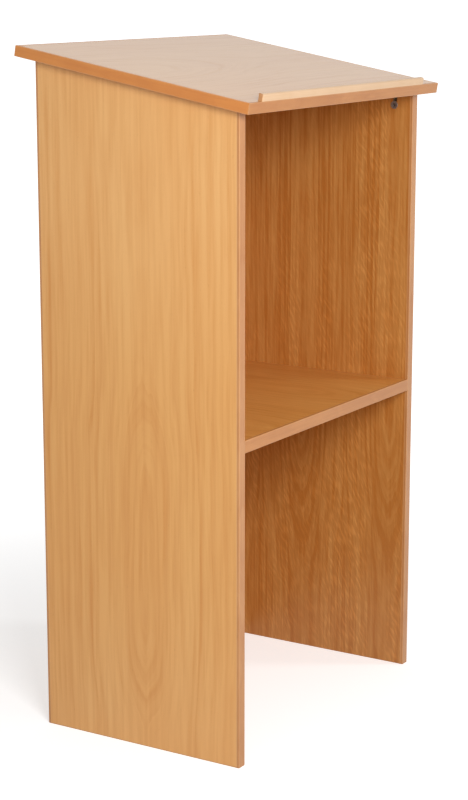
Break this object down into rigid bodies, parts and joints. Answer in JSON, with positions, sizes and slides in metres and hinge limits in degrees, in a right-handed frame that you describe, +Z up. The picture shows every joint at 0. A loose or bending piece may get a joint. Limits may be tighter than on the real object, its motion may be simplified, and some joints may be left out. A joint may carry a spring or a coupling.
{
  "type": "lectern",
  "caption": "Oak-veneered board lectern with a sloping reading board, a book stop and a fixed shelf, joined by cam fittings.",
  "frame": {"origin": "middle of the base of the whole object's box, on the floor", "axes": "+X to the speaker's right, +Y from the speaker's open side to the audience, +Z up"},
  "size_m": [0.682, 0.4712, 1.2259],
  "materials": {
    "oak_veneer": "satin lacquered crown-cut oak veneer",
    "oak_lipping": "satin lacquered solid oak",
    "oak_bead": "satin lacquered pale solid oak",
    "cam_zinc": "die-cast zinc, dull",
    "bolt_steel": "dark zinc-plated steel",
    "bright_steel": "bright drawn wire",
    "beech_dowel": "plain beech"
  },
  "bodies": {
    "carcass": {"left_side_panel": "oak_veneer", "right_side_panel": "oak_veneer", "front_panel": "oak_veneer", "shelf": "oak_veneer", "top_board": "oak_veneer", "left_rear_lipping": "oak_lipping", "left_front_lipping": "oak_lipping", "right_rear_lipping": "oak_lipping", "right_front_lipping": "oak_lipping", "shelf_lipping": "oak_lipping", "top_rear_lipping": "oak_lipping", "top_front_lipping": "oak_lipping", "top_left_lipping": "oak_lipping", "top_right_lipping": "oak_lipping", "book_stop": "oak_bead", "stop_pins": "bright_steel", "top_bolts": "bolt_steel", "shelf_bolts": "bolt_steel", "front_bolts": "bolt_steel", "top_dowels": "beech_dowel", "shelf_dowels": "beech_dowel", "front_dowels": "beech_dowel", "shelf_front_dowels": "beech_dowel"},
    "top_cam_left_rear": {"top_cam_left_rear": "cam_zinc"},
    "shelf_cam_left_rear": {"shelf_cam_left_rear": "cam_zinc"},
    "top_cam_left_front": {"top_cam_left_front": "cam_zinc"},
    "shelf_cam_left_front": {"shelf_cam_left_front": "cam_zinc"},
    "front_cam_left_low": {"front_cam_left_low": "cam_zinc"},
    "front_cam_left_high": {"front_cam_left_high": "cam_zinc"},
    "top_cam_right_rear": {"top_cam_right_rear": "cam_zinc"},
    "shelf_cam_right_rear": {"shelf_cam_right_rear": "cam_zinc"},
    "top_cam_right_front": {"top_cam_right_front": "cam_zinc"},
    "shelf_cam_right_front": {"shelf_cam_right_front": "cam_zinc"},
    "front_cam_right_low": {"front_cam_right_low": "cam_zinc"},
    "front_cam_right_high": {"front_cam_right_high": "cam_zinc"}
  },
  "joints": [
    {"name": "top_cam_left_rear_turn", "type": "hinge", "parent": "carcass", "child": "top_cam_left_rear", "pos_m": [-0.301, -0.16337, 1.10242], "axis": [1, 0, 0], "range_deg": [0, 190]},
    {"name": "shelf_cam_left_rear_turn", "type": "hinge", "parent": "carcass", "child": "shelf_cam_left_rear", "pos_m": [-0.267, -0.15276, 0.557], "axis": [0, 0, -1], "range_deg": [0, 190]},
    {"name": "top_cam_left_front_turn", "type": "hinge", "parent": "carcass", "child": "top_cam_left_front", "pos_m": [-0.301, 0.17224, 1.1616], "axis": [1, 0, 0], "range_deg": [0, 190]},
    {"name": "shelf_cam_left_front_turn", "type": "hinge", "parent": "carcass", "child": "shelf_cam_left_front", "pos_m": [-0.267, 0.12724, 0.557], "axis": [0, 0, -1], "range_deg": [0, 190]},
    {"name": "front_cam_left_low_turn", "type": "hinge", "parent": "carcass", "child": "front_cam_left_low", "pos_m": [-0.267, 0.18624, 0.12], "axis": [0, -1, 0], "range_deg": [0, 190]},
    {"name": "front_cam_left_high_turn", "type": "hinge", "parent": "carcass", "child": "front_cam_left_high", "pos_m": [-0.267, 0.18624, 1], "axis": [0, -1, 0], "range_deg": [0, 190]},
    {"name": "top_cam_right_rear_turn", "type": "hinge", "parent": "carcass", "child": "top_cam_right_rear", "pos_m": [0.301, -0.16337, 1.10242], "axis": [-1, 0, 0], "range_deg": [0, 190]},
    {"name": "shelf_cam_right_rear_turn", "type": "hinge", "parent": "carcass", "child": "shelf_cam_right_rear", "pos_m": [0.267, -0.15276, 0.557], "axis": [0, 0, -1], "range_deg": [0, 190]},
    {"name": "top_cam_right_front_turn", "type": "hinge", "parent": "carcass", "child": "top_cam_right_front", "pos_m": [0.301, 0.17224, 1.1616], "axis": [-1, 0, 0], "range_deg": [0, 190]},
    {"name": "shelf_cam_right_front_turn", "type": "hinge", "parent": "carcass", "child": "shelf_cam_right_front", "pos_m": [0.267, 0.12724, 0.557], "axis": [0, 0, -1], "range_deg": [0, 190]},
    {"name": "front_cam_right_low_turn", "type": "hinge", "parent": "carcass", "child": "front_cam_right_low", "pos_m": [0.267, 0.18624, 0.12], "axis": [0, -1, 0], "range_deg": [0, 190]},
    {"name": "front_cam_right_high_turn", "type": "hinge", "parent": "carcass", "child": "front_cam_right_high", "pos_m": [0.267, 0.18624, 1], "axis": [0, -1, 0], "range_deg": [0, 190]}
  ]
}
